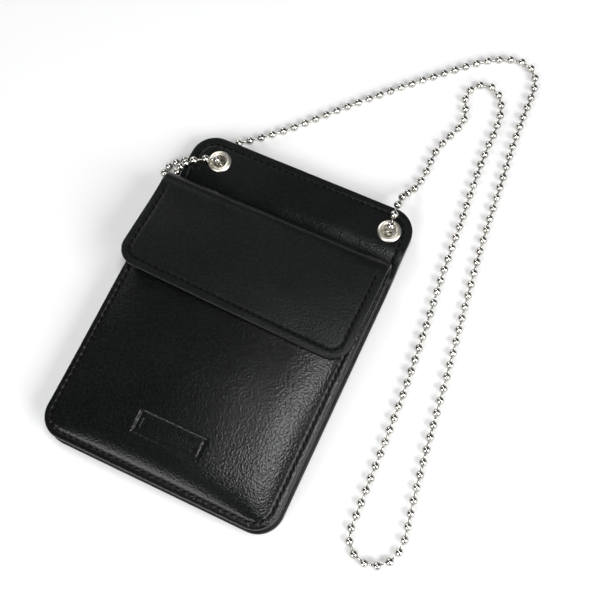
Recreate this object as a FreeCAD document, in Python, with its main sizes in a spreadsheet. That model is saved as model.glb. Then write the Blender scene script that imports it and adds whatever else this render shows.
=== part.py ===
import FreeCAD, Part
import Sketcher
import math
import os

# Neck pouch wallet: a stitched leather pouch with a fold-over flap, lying on its back,
# and a ball chain that runs through two eyelets in the tab above the pocket.
# +X is across the pouch, +Y is towards the chain, +Z is away from the back panel.
# The origin is on the back face, at the middle of the panel.  Millimetres.

Vector = FreeCAD.Vector

DRIVING_SIZES = {
    "panel_width": 95.0,
    "panel_height": 135.0,
    "panel_corner": 10.0,
    "leather_thick": 1.2,
    "lining_thick": 0.8,
    "board_thick": 0.5,
    "tab_lift": 4.2,
    "tab_rise_start": 38.0,
    "tab_rise_end": 52.4,
    "seam_inset": 3.2,
    "seam_width": 0.5,
    "seam_proud": 0.2,
    "tab_seam_start": 42.0,
    "pocket_width": 94.4,
    "pocket_bottom": -67.1,
    "pocket_mouth": 36.0,
    "pocket_corner": 9.5,
    "pocket_seam_inset": 2.6,
    "gusset_height": 7.3,
    "gusset_thick": 0.8,
    "gusset_flange": 4.0,
    "gusset_fold": 3.1,
    "gusset_lean": 0.3,
    "pocket_lining_thick": 0.6,
    "plaque_width": 26.0,
    "plaque_height": 9.3,
    "plaque_centre_across": -1.2,
    "plaque_centre_up": -48.0,
    "plaque_depth": 0.3,
    "flap_width": 95.0,
    "flap_end": 0.3,
    "flap_corner": 8.0,
    "flap_seam_stop": 2.0,
    "flap_lining_step": 1.0,
    "fold_centre_up": 37.5,
    "fold_radius": 6.65,
    "spine_end_angle": 40.0,
    "tongue_width": 75.0,
    "tongue_start": 25.0,
    "tongue_end": 36.3,
    "hinge_gap": 0.2,
    "magnet_radius": 7.0,
    "magnet_centre_up": 12.0,
    "eyelet_spacing": 73.6,
    "eyelet_shift": 1.8,
    "eyelet_up": 57.5,
    "eyelet_bore": 2.6,
    "eyelet_barrel": 3.0,
    "eyelet_flange": 4.7,
    "eyelet_proud": 0.9,
    "eyelet_rim": 0.3,
    "eyelet_shoulder": 0.7,
    "eyelet_mouth_edge": 0.4,
    "eyelet_round": 0.35,
    "eyelet_curl": 3.7,
    "eyelet_clearance": 0.05,
    "washer_radius": 4.6,
    "washer_thick": 0.5,
    "curl_thick": 0.2,
    "bead_radius": 1.6,
    "connector_radius": 2.0,
    "connector_length": 11.0,
    "connector_wall": 0.4,
    "connector_end_hole": 0.8,
}


class Size:
    """A length that carries both its number and the sheet expression it comes from."""

    def __init__(self, value, text):
        self.value = float(value)
        self.text = text

    @staticmethod
    def of(other):
        return other if isinstance(other, Size) else Size(other, repr(float(other)))

    def combined(self, other, sign, value):
        return Size(value, f"({self.text} {sign} {other.text})")

    def __add__(self, other):
        other = Size.of(other)
        return self.combined(other, "+", self.value + other.value)

    def __sub__(self, other):
        other = Size.of(other)
        return self.combined(other, "-", self.value - other.value)

    def __mul__(self, other):
        other = Size.of(other)
        return self.combined(other, "*", self.value * other.value)

    def __truediv__(self, other):
        other = Size.of(other)
        return self.combined(other, "/", self.value / other.value)

    def __neg__(self):
        return Size(-self.value, f"(-1 * {self.text})")


doc = FreeCAD.newDocument("neck_pouch_wallet")


def make_sheet():
    """The spreadsheet of driving dimensions, one alias to a row."""
    sheet = doc.addObject("Spreadsheet::Sheet", "Sizes")
    for row, (alias, number) in enumerate(DRIVING_SIZES.items(), start=1):
        sheet.set(f"A{row}", alias)
        sheet.set(f"B{row}", str(number))
        sheet.setAlias(f"B{row}", alias)
    doc.recompute()
    return {alias: Size(sheet.get(alias), f"Sizes.{alias}") for alias in DRIVING_SIZES}


S = make_sheet()

# Levels through the thickness, from the back face up.
PANEL_TOP = S["leather_thick"] * 2.0 + S["board_thick"]
POCKET_UNDER = PANEL_TOP + S["gusset_height"]
POCKET_LEATHER_UNDER = POCKET_UNDER + S["pocket_lining_thick"]
POCKET_TOP = POCKET_LEATHER_UNDER + S["leather_thick"]
FOLD_CENTRE = PANEL_TOP + S["fold_radius"]
FLAP_TOP = FOLD_CENTRE + S["fold_radius"]
FLAP_LEATHER_UNDER = FLAP_TOP - S["leather_thick"]
FLAP_UNDER = FLAP_LEATHER_UNDER - S["lining_thick"]
TAB_UNDER = S["tab_lift"]
TAB_TOP = PANEL_TOP + S["tab_lift"]
EYELET_ACROSS = {side: S["eyelet_shift"] + S["eyelet_spacing"] / 2.0 * side for side in (-1, 1)}

# How far a cutting or trimming shape reaches past the material it works on.
CUT_MARGIN = 1.0

subparts = []


# ---------------------------------------------------------------- document helpers

def add_body(label):
    body = doc.addObject("PartDesign::Body", label)
    body.Label = label
    subparts.append(body)
    return body


def place(item, across=None, up=None, level=None):
    """Binds an object's position to the sheet; directions left out stay at zero."""
    for axis, size in (("x", across), ("y", up), ("z", level)):
        if size is not None:
            item.setExpression(f"Placement.Base.{axis}", size.text)


def origin_plane(body, role):
    return next(item for item in body.Origin.OriginFeatures if item.Role == role)


def add_sketch(body, role, name):
    sketch = body.newObject("Sketcher::SketchObject", name)
    sketch.AttachmentSupport = [(origin_plane(body, role), "")]
    sketch.MapMode = "FlatFace"
    return sketch


def bind(sketch, constraint, size):
    """Adds one dimension to a sketch and ties it to the sheet."""
    index = sketch.addConstraint(constraint)
    sketch.setExpression(f"Constraints[{index}]", size.text)


def add_polygon(sketch, corners):
    """Closed outline whose every corner is dimensioned from the sketch origin."""
    count = len(corners)
    points = [Vector(across.value, up.value, 0) for across, up in corners]
    for index in range(count):
        sketch.addGeometry(Part.LineSegment(points[index], points[(index + 1) % count]), False)
    for index in range(count):
        following = (index + 1) % count
        sketch.addConstraint(Sketcher.Constraint("Coincident", index, 2, following, 1))
    for index, (across, up) in enumerate(corners):
        bind(sketch, Sketcher.Constraint("DistanceX", -1, 1, index, 1, across.value), across)
        bind(sketch, Sketcher.Constraint("DistanceY", -1, 1, index, 1, up.value), up)


def rectangle(left, right, low, high):
    return [(left, low), (right, low), (right, high), (left, high)]


def add_circle(sketch, across, up, radius):
    centre = Vector(across.value, up.value, 0)
    index = sketch.addGeometry(Part.Circle(centre, Vector(0, 0, 1), radius.value), False)
    bind(sketch, Sketcher.Constraint("Radius", index, radius.value), radius)
    bind(sketch, Sketcher.Constraint("DistanceX", -1, 1, index, 3, across.value), across)
    bind(sketch, Sketcher.Constraint("DistanceY", -1, 1, index, 3, up.value), up)


def add_pad(body, sketch, thickness):
    pad = body.newObject("PartDesign::Pad", f"{body.Name}_pad")
    pad.Profile = sketch
    pad.setExpression("Length", thickness.text)
    doc.recompute()
    return pad


def add_pocket(body, sketch, depth, reversed_direction):
    """Cuts into the body and makes sure that the cut really took material away."""
    before = body.Shape.Volume
    pocket = body.newObject("PartDesign::Pocket", f"{sketch.Name}_cut")
    pocket.Profile = sketch
    pocket.Reversed = reversed_direction
    pocket.setExpression("Length", depth.text)
    doc.recompute()
    if body.Shape.Volume >= before:
        raise RuntimeError(f"{sketch.Name} cut nothing")
    return pocket


def round_low_corners(body, feature, radius):
    """Rounds the two upright edges at the lowest Y of a plate."""
    low = feature.Shape.BoundBox.YMin
    names = []
    for number, edge in enumerate(feature.Shape.Edges, start=1):
        start, end = edge.Vertexes[0].Point, edge.Vertexes[-1].Point
        upright = abs(start.x - end.x) + abs(start.y - end.y) < 1e-6
        if upright and abs(start.y - low) < 1e-6:
            names.append(f"Edge{number}")
    fillet = body.newObject("PartDesign::Fillet", f"{body.Name}_corners")
    fillet.Base = (feature, names)
    fillet.setExpression("Radius", radius.text)
    doc.recompute()
    return fillet


def add_revolution(body, corners, axis):
    """Turns a closed outline, drawn on the XZ plane, about one of the sketch axes."""
    sketch = add_sketch(body, "XZ_Plane", f"{body.Name}_section")
    add_polygon(sketch, corners)
    revolution = body.newObject("PartDesign::Revolution", f"{body.Name}_turned")
    revolution.Profile = sketch
    revolution.ReferenceAxis = (sketch, [axis])
    revolution.Angle = 360.0
    doc.recompute()
    return revolution


def add_feature(label, shape):
    """A sub-part whose shape is built directly; its place is set after its shape."""
    feature = doc.addObject("Part::Feature", label)
    feature.Label = label
    feature.Shape = shape
    feature.Placement = FreeCAD.Placement()
    subparts.append(feature)
    return feature


# ---------------------------------------------------------------- direct geometry

def arc_point(centre_up, centre_level, radius, degrees):
    """Point of an arc in the YZ plane, with the angle counted from +Y."""
    angle = math.radians(degrees)
    return Vector(0, centre_up + radius * math.cos(angle), centre_level + radius * math.sin(angle))


def arc_edge(centre_up, centre_level, radius, start, end):
    points = [arc_point(centre_up, centre_level, radius, degrees)
              for degrees in (start, (start + end) / 2.0, end)]
    return Part.Arc(*points).toShape()


def closed_face(edges):
    return Part.Face(Part.Wire(Part.__sortEdges__(edges)))


def extrude_across(face, width):
    face.translate(Vector(-width / 2.0, 0, 0))
    return face.extrude(Vector(width, 0, 0))


def rounded_plan(half_width, low, high, radius, bottom, top):
    """Upright prism over a rectangle with rounded corners."""
    prism = Part.makeBox(2.0 * half_width, high - low, top - bottom, Vector(-half_width, low, bottom))
    upright = [edge for edge in prism.Edges
               if abs(edge.Vertexes[0].Z - edge.Vertexes[-1].Z) > 1e-6]
    return prism.makeFillet(radius, upright)


def rise_edges(offset):
    """Line of the panel at one level: flat, then an S curve up to the lifted tab."""
    half_height = S["panel_height"].value / 2.0
    start = S["tab_rise_start"].value
    end = S["tab_rise_end"].value
    lift = S["tab_lift"].value
    turn = 2.0 * math.degrees(math.atan2(lift, end - start))
    radius = (end - start) / (2.0 * math.sin(math.radians(turn)))
    lower = arc_edge(start, radius, radius - offset, -90.0, -90.0 + turn)
    upper = arc_edge(end, lift - radius, radius + offset, 90.0 + turn, 90.0)
    return [
        Part.makeLine(Vector(0, -half_height, offset), Vector(0, start, offset)),
        lower,
        upper,
        Part.makeLine(Vector(0, end, lift + offset), Vector(0, half_height, lift + offset)),
    ]


def panel_sheet(low, high, half_width):
    """Slab between two levels of the panel, before its outline is cut."""
    half_height = S["panel_height"].value / 2.0
    lift = S["tab_lift"].value
    edges = rise_edges(low) + rise_edges(high)
    edges.append(Part.makeLine(Vector(0, -half_height, low), Vector(0, -half_height, high)))
    edges.append(Part.makeLine(Vector(0, half_height, lift + low), Vector(0, half_height, lift + high)))
    return extrude_across(closed_face(edges), 2.0 * half_width)


def eyelet_holes(radius, bottom, top):
    up = S["eyelet_up"].value
    return [Part.makeCylinder(radius, top - bottom, Vector(across.value, up, bottom))
            for across in EYELET_ACROSS.values()]


def panel_layer(low, high):
    """One full layer of the back panel, with its two eyelet holes."""
    half_width = S["panel_width"].value / 2.0
    half_height = S["panel_height"].value / 2.0
    bottom = -CUT_MARGIN
    top = TAB_TOP.value + CUT_MARGIN
    plan = rounded_plan(half_width, -half_height, half_height, S["panel_corner"].value, bottom, top)
    layer = panel_sheet(low, high, half_width).common(plan)
    hole_radius = S["eyelet_barrel"].value + S["eyelet_clearance"].value
    for hole in eyelet_holes(hole_radius, bottom, top):
        layer = layer.cut(hole)
    return layer.Solids[0]


# ---------------------------------------------------------------- back panel

def make_back_panel():
    """Back leather, stiffening board and the panel leather that faces the pocket."""
    leather = S["leather_thick"].value
    board = S["board_thick"].value
    add_feature("back_leather", panel_layer(0.0, leather))
    add_feature("panel_board", panel_layer(leather, leather + board))
    add_feature("panel_leather", panel_layer(leather + board, PANEL_TOP.value))


def make_tab_thread():
    """Seam line round the three free sides of the tab, standing proud of its leather."""
    half_width = S["panel_width"].value / 2.0
    half_height = S["panel_height"].value / 2.0
    inset = S["seam_inset"].value
    width = S["seam_width"].value
    corner = S["panel_corner"].value
    top = TAB_TOP.value + CUT_MARGIN
    low = PANEL_TOP.value
    sheet = panel_sheet(low, low + S["seam_proud"].value, half_width)
    outer = rounded_plan(half_width - inset, -half_height, half_height - inset, corner - inset,
                         0.0, top)
    inner_inset = inset + width
    inner = rounded_plan(half_width - inner_inset, -half_height - CUT_MARGIN,
                         half_height - inner_inset, corner - inner_inset, 0.0, top)
    above = Part.makeBox(2.0 * half_width, half_height, top,
                         Vector(-half_width, S["tab_seam_start"].value, 0.0))
    add_feature("tab_thread", sheet.common(outer).cut(inner).common(above).Solids[0])


# ---------------------------------------------------------------- pocket

def make_pocket_front():
    """Front leaf of the pocket, with a plain recessed plaque and rounded low corners."""
    body = add_body("pocket_front")
    outline = add_sketch(body, "XY_Plane", "pocket_front_outline")
    half = S["pocket_width"] / 2.0
    add_polygon(outline, rectangle(-half, half, S["pocket_bottom"], S["pocket_mouth"]))
    pad = add_pad(body, outline, S["leather_thick"])
    round_low_corners(body, pad, S["pocket_corner"])
    plaque = add_sketch(body, "XY_Plane", "pocket_front_plaque")
    floor_level = S["leather_thick"] - S["plaque_depth"]
    plaque.setExpression("AttachmentOffset.Base.z", floor_level.text)
    reach_across = S["plaque_width"] / 2.0
    reach_up = S["plaque_height"] / 2.0
    add_polygon(plaque, rectangle(S["plaque_centre_across"] - reach_across,
                                  S["plaque_centre_across"] + reach_across,
                                  S["plaque_centre_up"] - reach_up,
                                  S["plaque_centre_up"] + reach_up))
    add_pocket(body, plaque, S["plaque_depth"], True)
    place(body, level=POCKET_LEATHER_UNDER)


def make_pocket_lining():
    """Lining bonded to the back of the front leaf, with a round seat for the magnet."""
    body = add_body("pocket_lining")
    outline = add_sketch(body, "XY_Plane", "pocket_lining_outline")
    half = S["pocket_width"] / 2.0
    add_polygon(outline, rectangle(-half, half, S["pocket_bottom"], S["pocket_mouth"]))
    pad = add_pad(body, outline, S["pocket_lining_thick"])
    round_low_corners(body, pad, S["pocket_corner"])
    seat = add_sketch(body, "XY_Plane", "pocket_magnet_seat")
    add_circle(seat, Size.of(0.0), S["magnet_centre_up"], S["magnet_radius"])
    add_pocket(body, seat, S["pocket_lining_thick"], True)
    place(body, level=POCKET_UNDER)


def make_magnet(label, thickness, level):
    magnet = doc.addObject("Part::Cylinder", label)
    magnet.Label = label
    magnet.setExpression("Radius", S["magnet_radius"].text)
    magnet.setExpression("Height", thickness.text)
    place(magnet, up=S["magnet_centre_up"], level=level)
    subparts.append(magnet)


def pocket_outline(inset):
    """Open U line round the pocket: down one side, along the bottom and up the other."""
    half = S["pocket_width"].value / 2.0 - inset
    low = S["pocket_bottom"].value + inset
    mouth = S["pocket_mouth"].value
    radius = S["pocket_corner"].value - inset
    diagonal = radius * (1.0 - math.sqrt(0.5))
    side_start, side_end = Vector(half, mouth, 0), Vector(half, low + radius, 0)
    base_start, base_end = Vector(half - radius, low, 0), Vector(-half + radius, low, 0)
    far_start, far_end = Vector(-half, low + radius, 0), Vector(-half, mouth, 0)
    right_middle = Vector(half - diagonal, low + diagonal, 0)
    left_middle = Vector(-half + diagonal, low + diagonal, 0)
    return Part.Wire([
        Part.makeLine(side_start, side_end),
        Part.Arc(side_end, right_middle, base_start).toShape(),
        Part.makeLine(base_start, base_end),
        Part.Arc(base_end, left_middle, far_start).toShape(),
        Part.makeLine(far_start, far_end),
    ])


def sweep_round_pocket(section, inset):
    """Carries a closed section, given as (distance inwards, level), round the pocket."""
    half = S["pocket_width"].value / 2.0 - inset
    mouth = S["pocket_mouth"].value
    corners = [Vector(half - inward, mouth, level) for inward, level in section]
    profile = Part.makePolygon(corners + corners[:1])
    pipe = Part.BRepOffsetAPI.MakePipeShell(pocket_outline(inset))
    pipe.setBiNormalMode(Vector(0, 0, 1))
    pipe.add(profile)
    pipe.build()
    pipe.makeSolid()
    return pipe.shape()


def make_gusset():
    """Side strip, pinched inwards, that joins the front leaf to the back panel."""
    thick = S["gusset_thick"].value
    flange = S["gusset_flange"].value
    fold = S["gusset_fold"].value
    low = PANEL_TOP.value
    high = POCKET_UNDER.value
    middle = (low + high) / 2.0
    lean = S["gusset_lean"].value
    section = [
        (0.0, low),
        (flange + lean, low),
        (flange + lean + fold, middle),
        (flange + lean, high),
        (0.0, high),
        (0.0, high - thick),
        (flange, high - thick),
        (flange + fold - thick, middle),
        (flange, low + thick),
        (0.0, low + thick),
    ]
    add_feature("pocket_gusset", sweep_round_pocket(section, 0.0))


def make_pocket_thread():
    """Seam line on the front leaf, parallel to its sides and bottom."""
    width = S["seam_width"].value
    low = POCKET_TOP.value
    high = low + S["seam_proud"].value
    section = [(0.0, low), (width, low), (width, high), (0.0, high)]
    add_feature("pocket_thread", sweep_round_pocket(section, S["pocket_seam_inset"].value))


# ---------------------------------------------------------------- flap

def make_flap_root():
    """Tongue sewn inside the pocket, and the leather that curls up from it to the fold."""
    outer = S["fold_radius"].value
    inner = outer - S["leather_thick"].value
    up = S["fold_centre_up"].value
    level = FOLD_CENTRE.value
    end = S["spine_end_angle"].value
    start = S["tongue_start"].value
    low = PANEL_TOP.value
    high = low + S["leather_thick"].value
    edges = [
        Part.makeLine(Vector(0, start, low), Vector(0, up, low)),
        arc_edge(up, level, outer, -90.0, end),
        Part.makeLine(arc_point(up, level, outer, end), arc_point(up, level, inner, end)),
        arc_edge(up, level, inner, end, -90.0),
        Part.makeLine(Vector(0, up, high), Vector(0, start, high)),
        Part.makeLine(Vector(0, start, high), Vector(0, start, low)),
    ]
    width = S["flap_width"].value
    root = extrude_across(closed_face(edges), width)
    tongue_half = S["tongue_width"].value / 2.0
    tongue_depth = S["tongue_end"].value - start
    for corner in (-width / 2.0, tongue_half):
        beside = Part.makeBox(width / 2.0 - tongue_half, tongue_depth, high, Vector(corner, start, 0.0))
        root = root.cut(beside)
    add_feature("flap_root", root.Solids[0])


def make_flap_plate(label, thickness, top_edge, level):
    """One layer of the flap, from the fold down to its rounded low corners."""
    body = add_body(label)
    outline = add_sketch(body, "XY_Plane", f"{label}_outline")
    half = S["flap_width"] / 2.0
    add_polygon(outline, rectangle(-half, half, S["flap_end"], top_edge))
    pad = add_pad(body, outline, thickness)
    round_low_corners(body, pad, S["flap_corner"])
    place(body, level=level)
    return body


def make_flap():
    top_edge = S["fold_centre_up"] - S["hinge_gap"]
    make_flap_plate("flap_leather", S["leather_thick"], top_edge, FLAP_LEATHER_UNDER)
    lining_edge = top_edge - S["flap_lining_step"]
    lining = make_flap_plate("flap_lining", S["lining_thick"], lining_edge, FLAP_UNDER)
    seat = add_sketch(lining, "XY_Plane", "flap_magnet_seat")
    add_circle(seat, Size.of(0.0), S["magnet_centre_up"], S["magnet_radius"])
    add_pocket(lining, seat, S["lining_thick"], True)


def make_flap_thread():
    """Seam line round the two sides and the lower edge of the flap."""
    half = S["flap_width"].value / 2.0
    low = S["flap_end"].value
    stop = S["fold_centre_up"].value - S["flap_seam_stop"].value
    inset = S["seam_inset"].value
    inner_inset = inset + S["seam_width"].value
    corner = S["flap_corner"].value
    bottom = FLAP_TOP.value
    top = bottom + S["seam_proud"].value
    outer = rounded_plan(half - inset, low + inset, stop + corner, corner - inset, bottom, top)
    inner = rounded_plan(half - inner_inset, low + inner_inset, stop + 2.0 * corner,
                         corner - inner_inset, bottom, top)
    below = Part.makeBox(2.0 * half, stop - low, top - bottom, Vector(-half, low, bottom))
    add_feature("flap_thread", outer.cut(inner).common(below).Solids[0])


# ---------------------------------------------------------------- eyelets

def make_eyelet(side_name, side):
    """Eyelet with a domed flange on the front and a small curl under its washer."""
    body = add_body(f"eyelet_{side_name}")
    bore, barrel, flange = S["eyelet_bore"], S["eyelet_barrel"], S["eyelet_flange"]
    curl, curl_thick = S["eyelet_curl"], S["curl_thick"]
    seat = PANEL_TOP
    proud, rounding = S["eyelet_proud"], S["eyelet_round"]
    below = S["washer_thick"]
    middle = (bore + flange) / 2.0
    corners = [
        (bore, -below - curl_thick),
        (curl, -below - curl_thick),
        (curl, -below),
        (barrel, -below),
        (barrel, seat),
        (flange, seat),
        (flange, seat + S["eyelet_rim"]),
        (flange - rounding, seat + S["eyelet_shoulder"]),
        (middle + rounding, seat + proud),
        (middle - rounding, seat + proud),
        (bore + rounding, seat + S["eyelet_shoulder"]),
        (bore, seat + S["eyelet_mouth_edge"]),
    ]
    add_revolution(body, corners, "V_Axis")
    place(body, across=EYELET_ACROSS[side], up=S["eyelet_up"], level=TAB_UNDER)


def make_washer(side_name, side):
    """Flat ring behind the tab that the eyelet is set against."""
    body = add_body(f"eyelet_washer_{side_name}")
    inner = S["eyelet_barrel"] + S["eyelet_clearance"]
    zero = Size.of(0.0)
    corners = rectangle(inner, S["washer_radius"], zero, S["washer_thick"])
    add_revolution(body, corners, "V_Axis")
    place(body, across=EYELET_ACROSS[side], up=S["eyelet_up"], level=TAB_UNDER - S["washer_thick"])


# ---------------------------------------------------------------- chain

# Route of the chain's middle line, from the connector through the left eyelet, round the
# floor and back through the right eyelet to the connector.
CHAIN_ROUTE = [
    (-5.5, 57.5, 2.0), (-13.0, 57.5, 2.0), (-21.0, 57.9, 1.6), (-29.0, 57.3, 1.6),
    (-35.0, 57.5, 1.6), (-35.0, 57.5, 9.8), (-42.6, 54.2, 9.8), (-49.2, 51.0, 8.4),
    (-49.4, 48.3, 2.9), (-49.4, 45.0, 1.6), (-51.2, 42.6, 1.6), (-54.2, 42.3, 1.6),
    (-56.4, 44.4, 1.6), (-56.1, 48.4, 1.6), (-53.6, 52.2, 1.6), (-49.0, 55.6, 1.6),
    (-43.2, 61.0, 1.6), (-36.6, 67.8, 1.6), (-28.6, 74.2, 1.6), (-17.6, 84.0, 1.6),
    (-2.8, 100.6, 1.6), (15.4, 119.4, 1.6), (31.4, 134.8, 1.6), (42.6, 145.2, 1.6),
    (50.4, 150.0, 1.6), (57.6, 152.0, 1.6), (63.4, 150.0, 1.6), (66.6, 144.4, 1.6),
    (67.2, 136.8, 1.6), (67.4, 127.6, 1.6), (68.4, 112.6, 1.6), (70.4, 94.4, 1.6),
    (72.1, 74.4, 1.6), (76.0, 46.0, 1.6), (81.0, 13.0, 1.6), (84.6, -15.0, 1.6),
    (87.6, -34.2, 1.6), (89.8, -44.6, 1.6), (90.2, -51.6, 1.6), (87.2, -57.4, 1.6),
    (81.2, -60.3, 1.6), (74.8, -58.6, 1.6), (71.0, -53.2, 1.6), (70.9, -44.6, 1.6),
    (70.2, -33.0, 1.6), (69.7, -17.0, 1.6), (68.5, 4.0, 1.6), (66.3, 28.6, 1.6),
    (63.8, 50.0, 1.6), (62.0, 74.6, 1.6), (60.0, 95.0, 1.6), (59.3, 109.0, 1.6),
    (59.4, 119.0, 1.6), (58.5, 126.8, 1.6), (55.4, 133.2, 1.6), (49.8, 136.4, 1.6),
    (44.3, 133.8, 1.6), (41.9, 127.0, 1.6), (46.9, 117.8, 1.6), (44.4, 109.4, 1.6),
    (41.2, 101.6, 1.6), (40.8, 93.4, 1.6), (41.2, 87.2, 1.6), (40.4, 81.8, 1.7),
    (38.6, 77.0, 4.2), (37.2, 72.2, 8.5), (37.7, 65.6, 9.9), (38.6, 57.5, 9.8),
    (38.6, 57.5, 1.6), (30.0, 57.7, 1.6), (21.5, 57.1, 1.6), (13.0, 57.5, 2.0),
    (5.5, 57.5, 2.0),
]
ARC_SHARE = 0.45


def corner_arc(before, corner, after):
    """Start, middle and end of the arc that rounds one corner, and its radius."""
    back = before - corner
    ahead = after - corner
    turn = math.pi - back.getAngle(ahead)
    reach = ARC_SHARE * min(back.Length, ahead.Length)
    radius = reach / math.tan(turn / 2.0)
    back.normalize()
    ahead.normalize()
    inward = back + ahead
    inward.normalize()
    depth = radius / math.cos(turn / 2.0) - radius
    return corner + back * reach, corner + inward * depth, corner + ahead * reach, radius


def rounded_path(route):
    """Straight runs joined by tangent arcs, and the radius at every corner."""
    points = [Vector(*point) for point in route]
    edges = []
    radii = []
    last = points[0]
    for before, corner, after in zip(points, points[1:], points[2:]):
        start, middle, end, radius = corner_arc(before, corner, after)
        edges.append(Part.LineSegment(last, start).toShape())
        edges.append(Part.Arc(start, middle, end).toShape())
        radii.append(radius)
        last = end
    edges.append(Part.LineSegment(last, points[-1]).toShape())
    return Part.Wire(edges), radii


def make_chain():
    """Envelope of the ball chain: a tube as thick as its beads."""
    path, radii = rounded_path(CHAIN_ROUTE)
    radius = S["bead_radius"].value
    points = [Vector(*point) for point in CHAIN_ROUTE[:2]]
    section = Part.Wire([Part.makeCircle(radius, points[0], points[1] - points[0])])
    pipe = Part.BRepOffsetAPI.MakePipeShell(path)
    pipe.add(section)
    pipe.build()
    pipe.makeSolid()
    tube = pipe.shape()
    expected = math.pi * radius ** 2 * path.Length
    print("chain length", round(path.Length, 1), "volume", round(tube.Volume, 1),
          "section times length", round(expected, 1))
    print("chain radii", [round(value, 1) for value in radii])
    if abs(tube.Volume / expected - 1.0) > 0.01:
        raise RuntimeError("the chain tube's volume is not its section times its length")
    add_feature("neck_chain", tube)


def make_connector():
    """Sleeve that joins the two ends of the chain behind the tab."""
    body = add_body("chain_connector")
    half = S["connector_length"] / 2.0
    outer, wall, hole = S["connector_radius"], S["connector_wall"], S["connector_end_hole"]
    corners = [
        (-half, hole),
        (-half, outer - wall),
        (-half + wall, outer),
        (half - wall, outer),
        (half, outer - wall),
        (half, hole),
        (half - wall, hole),
        (half - wall, outer - wall),
        (-half + wall, outer - wall),
        (-half + wall, hole),
    ]
    add_revolution(body, corners, "H_Axis")
    place(body, up=S["eyelet_up"], level=outer)


# ---------------------------------------------------------------- build, check, write

def check_document():
    doc.recompute()
    for item in doc.Objects:
        if "Invalid" in item.State or "Error" in item.State:
            raise RuntimeError(f"{item.Name} failed: {item.State}")
    for item in subparts:
        if item.Shape.isNull() or not item.Shape.isValid():
            raise RuntimeError(f"{item.Label} has no valid shape")


def write_parts():
    os.makedirs("parts", exist_ok=True)
    for item in subparts:
        item.Shape.exportStep(f"parts/{item.Label}.step")
        print(item.Label, round(item.Shape.Volume, 1), len(item.Shape.Solids))


make_back_panel()
make_tab_thread()
make_gusset()
make_pocket_lining()
make_pocket_front()
make_pocket_thread()
make_magnet("pocket_magnet", S["pocket_lining_thick"], POCKET_UNDER)
make_flap_root()
make_flap()
make_magnet("flap_magnet", S["lining_thick"], FLAP_UNDER)
make_flap_thread()
for name, direction in (("left", -1), ("right", 1)):
    make_eyelet(name, direction)
    make_washer(name, direction)
make_chain()
make_connector()
check_document()
write_parts()
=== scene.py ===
import math

import bpy
import numpy as np
from mathutils import Matrix, Vector


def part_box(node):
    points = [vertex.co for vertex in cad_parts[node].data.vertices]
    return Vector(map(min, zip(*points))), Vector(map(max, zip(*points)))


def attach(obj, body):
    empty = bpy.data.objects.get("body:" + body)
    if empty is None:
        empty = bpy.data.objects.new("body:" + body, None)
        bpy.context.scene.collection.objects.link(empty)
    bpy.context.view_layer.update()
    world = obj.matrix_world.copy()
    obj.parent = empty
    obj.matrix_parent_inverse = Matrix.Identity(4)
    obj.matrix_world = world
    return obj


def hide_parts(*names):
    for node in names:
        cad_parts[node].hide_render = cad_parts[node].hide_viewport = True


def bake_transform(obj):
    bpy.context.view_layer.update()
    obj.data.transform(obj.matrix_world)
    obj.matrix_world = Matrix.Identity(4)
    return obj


# Neck pouch wallet, lying on its back with its ball chain spread out beside it.
# Everything is in metres in the part's own frame: +X across the pouch, +Y towards the
# chain, +Z out of the flap's face.

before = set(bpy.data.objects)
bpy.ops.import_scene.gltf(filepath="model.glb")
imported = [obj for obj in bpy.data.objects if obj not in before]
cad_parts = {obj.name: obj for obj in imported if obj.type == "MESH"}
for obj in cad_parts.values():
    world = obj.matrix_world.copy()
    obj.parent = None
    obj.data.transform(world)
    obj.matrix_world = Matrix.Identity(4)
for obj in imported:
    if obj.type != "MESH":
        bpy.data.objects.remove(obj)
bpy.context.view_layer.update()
MM = 0.001


# ---- sizes

def node_box(name):
    low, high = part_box(name)
    return np.array(low), np.array(high)


BACK_LOW, BACK_HIGH = node_box("back_leather")
POCKET_LOW, POCKET_HIGH = node_box("pocket_front")
FLAP_LOW, FLAP_HIGH = node_box("flap_leather")
ROOT_LOW, ROOT_HIGH = node_box("flap_root")
GUSSET_LOW, GUSSET_HIGH = node_box("pocket_gusset")

LEATHER = FLAP_HIGH[2] - FLAP_LOW[2]
HALF_LEATHER = LEATHER / 2
PANEL_WIDTH = BACK_HIGH[0] - BACK_LOW[0]
PANEL_HEIGHT = BACK_HIGH[1] - BACK_LOW[1]
TAB_LIFT = BACK_HIGH[2] - LEATHER
BOARD = node_box("panel_leather")[0][2] - BACK_LOW[2] - LEATHER
BOARD_INSET = 0.25 * MM
PANEL_CORNER = 10.0 * MM
RISE_START = 38.0 * MM
RISE_END = 52.4 * MM
TAB_SEAM_START = 36.0 * MM
SEAM_INSET = 3.2 * MM
STITCH_PITCH = 2.75 * MM
POCKET_SEAM_INSET = 2.6 * MM
EYELET_HOLE = 3.1 * MM
EYELET_BORE = 2.6 * MM
WASHER_HOLE = 3.05 * MM
BEAD_RADIUS = 1.6 * MM


def eyelet_middle(side_name):
    low, high = node_box(f"eyelet_{side_name}")
    return np.array([(low[0] + high[0]) / 2, (low[1] + high[1]) / 2, 0.0])


# ---- camera

CAMERA_PLACE = Vector((83.4, -82.1, 358.0)) * MM
CAMERA_AIM = Vector((17.7, 19.99, 0.0)) * MM
CAMERA_ROLL = math.radians(-8.03)
CAMERA_LENS = 58.62
SENSOR_WIDTH = 36.0


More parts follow.
